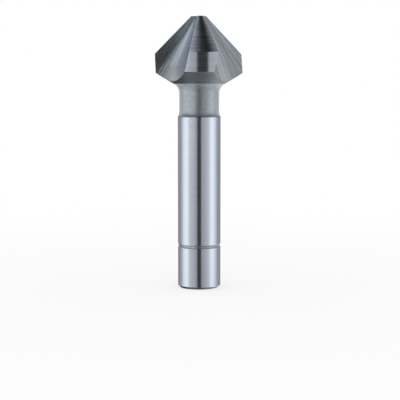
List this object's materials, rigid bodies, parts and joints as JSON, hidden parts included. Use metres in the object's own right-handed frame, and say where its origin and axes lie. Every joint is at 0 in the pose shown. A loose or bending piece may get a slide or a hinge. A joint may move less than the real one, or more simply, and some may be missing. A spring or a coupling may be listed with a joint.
{
  "type": "countersink bit",
  "caption": "Fluted ninety-degree countersink bit: a conical cutting head with a cylindrical band and back cone on a neck and a plain round shank with a ring groove.",
  "frame": {"origin": "centre of the shank's flat end", "axes": "+Z along the axis from the shank's end to the cutting tip, -Y towards the front"},
  "size_m": [0.0082, 0.0075, 0.0253],
  "materials": {
    "tool_steel": "ground bright all over, the neck left matte"
  },
  "bodies": {
    "root": {"countersink_bit": "tool_steel"}
  },
  "joints": []
}
